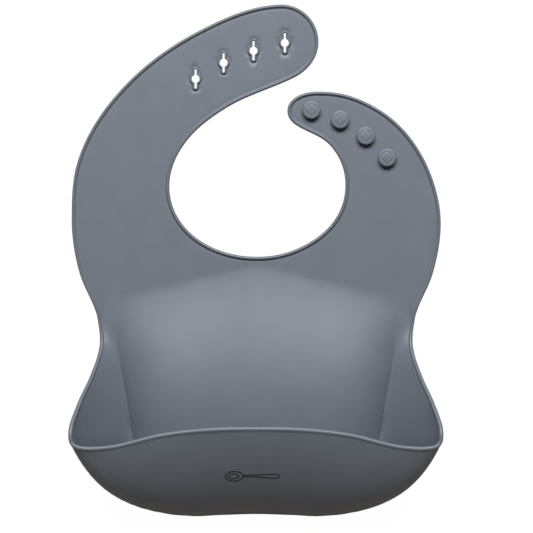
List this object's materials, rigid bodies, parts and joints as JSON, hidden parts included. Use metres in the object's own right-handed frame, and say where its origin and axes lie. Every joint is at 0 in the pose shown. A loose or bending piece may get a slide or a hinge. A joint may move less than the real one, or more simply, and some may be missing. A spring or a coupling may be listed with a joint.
{
  "type": "silicone baby bib",
  "caption": "Soft silicone baby bib with a scoop-shaped crumb pocket, a long strap with keyholes and a short strap with press studs.",
  "frame": {"origin": "on the resting plane, under the middle of the bounding box", "axes": "+Y from the pocket to the neck, +Z away from the wearer, +X to the right with the short strap"},
  "size_m": [0.223, 0.3079, 0.0498],
  "materials": {
    "silicone_sheet": "matte moulded silicone with a fine satin grain",
    "silicone_pocket": "matte moulded silicone with a fine satin grain",
    "silicone_bead": "matte moulded silicone with a fine satin grain",
    "silicone_lip": "matte moulded silicone with a fine satin grain",
    "silicone_collar": "matte moulded silicone with a fine satin grain",
    "silicone_stud": "matte moulded silicone with a fine satin grain",
    "pocket_print": "thin dark pad print"
  },
  "bodies": {
    "lower_bib": {"lower_panel": "silicone_sheet", "lower_panel_side_beads": "silicone_bead", "pocket_left_wall": "silicone_pocket", "pocket_front_wall": "silicone_pocket", "pocket_right_wall": "silicone_pocket", "pocket_left_lip": "silicone_lip", "pocket_front_lip": "silicone_lip", "pocket_right_lip": "silicone_lip"},
    "chest": {"chest_panel": "silicone_sheet", "chest_outer_beads": "silicone_bead", "neck_bead": "silicone_bead"},
    "long_strap_1": {"long_strap_root": "silicone_sheet", "long_strap_root_beads": "silicone_bead"},
    "long_strap_2": {"long_strap_middle": "silicone_sheet", "long_strap_middle_beads": "silicone_bead", "keyhole_collar_4": "silicone_collar"},
    "long_strap_3": {"long_strap_end": "silicone_sheet", "long_strap_end_bead": "silicone_bead", "keyhole_collar_1": "silicone_collar", "keyhole_collar_2": "silicone_collar", "keyhole_collar_3": "silicone_collar"},
    "short_strap_1": {"short_strap_root": "silicone_sheet", "short_strap_root_beads": "silicone_bead", "stud_3": "silicone_stud", "stud_4": "silicone_stud"},
    "short_strap_2": {"short_strap_end": "silicone_sheet", "short_strap_end_bead": "silicone_bead", "stud_1": "silicone_stud", "stud_2": "silicone_stud"}
  },
  "joints": [
    {"name": "waist_fold", "type": "hinge", "parent": "lower_bib", "child": "chest", "pos_m": [0, -0.008, 0.0009], "axis": [1, 0, 0], "range_deg": [0, 90], "stiffness_Nm_per_rad": 0.03},
    {"name": "long_strap_fold", "type": "hinge", "parent": "chest", "child": "long_strap_1", "pos_m": [-0.0799, 0.0554, 0.0009], "axis": [0.9905, -0.1375, 0], "range_deg": [0, 34], "stiffness_Nm_per_rad": 0.01},
    {"name": "long_strap_middle_fold", "type": "hinge", "parent": "long_strap_1", "child": "long_strap_2", "pos_m": [-0.059, 0.0907, 0.0009], "axis": [0.7859, -0.6183, 0], "range_deg": [0, 34], "stiffness_Nm_per_rad": 0.01},
    {"name": "long_strap_end_fold", "type": "hinge", "parent": "long_strap_2", "child": "long_strap_3", "pos_m": [-0.0279, 0.11435, 0.0009], "axis": [0.3735, -0.9276, 0], "range_deg": [0, 34], "stiffness_Nm_per_rad": 0.01},
    {"name": "short_strap_fold", "type": "hinge", "parent": "chest", "child": "short_strap_1", "pos_m": [0.0797, 0.04965, 0.0009], "axis": [0.9972, 0.0751, 0], "range_deg": [0, 45], "stiffness_Nm_per_rad": 0.01},
    {"name": "short_strap_end_fold", "type": "hinge", "parent": "short_strap_1", "child": "short_strap_2", "pos_m": [0.05955, 0.0803, 0.0009], "axis": [0.8549, 0.5188, 0], "range_deg": [0, 45], "stiffness_Nm_per_rad": 0.01}
  ],
  "couplings": [
    {"joint": "long_strap_middle_fold", "follows": "long_strap_fold", "ratio": 1},
    {"joint": "long_strap_end_fold", "follows": "long_strap_fold", "ratio": 1},
    {"joint": "short_strap_end_fold", "follows": "short_strap_fold", "ratio": 1}
  ]
}
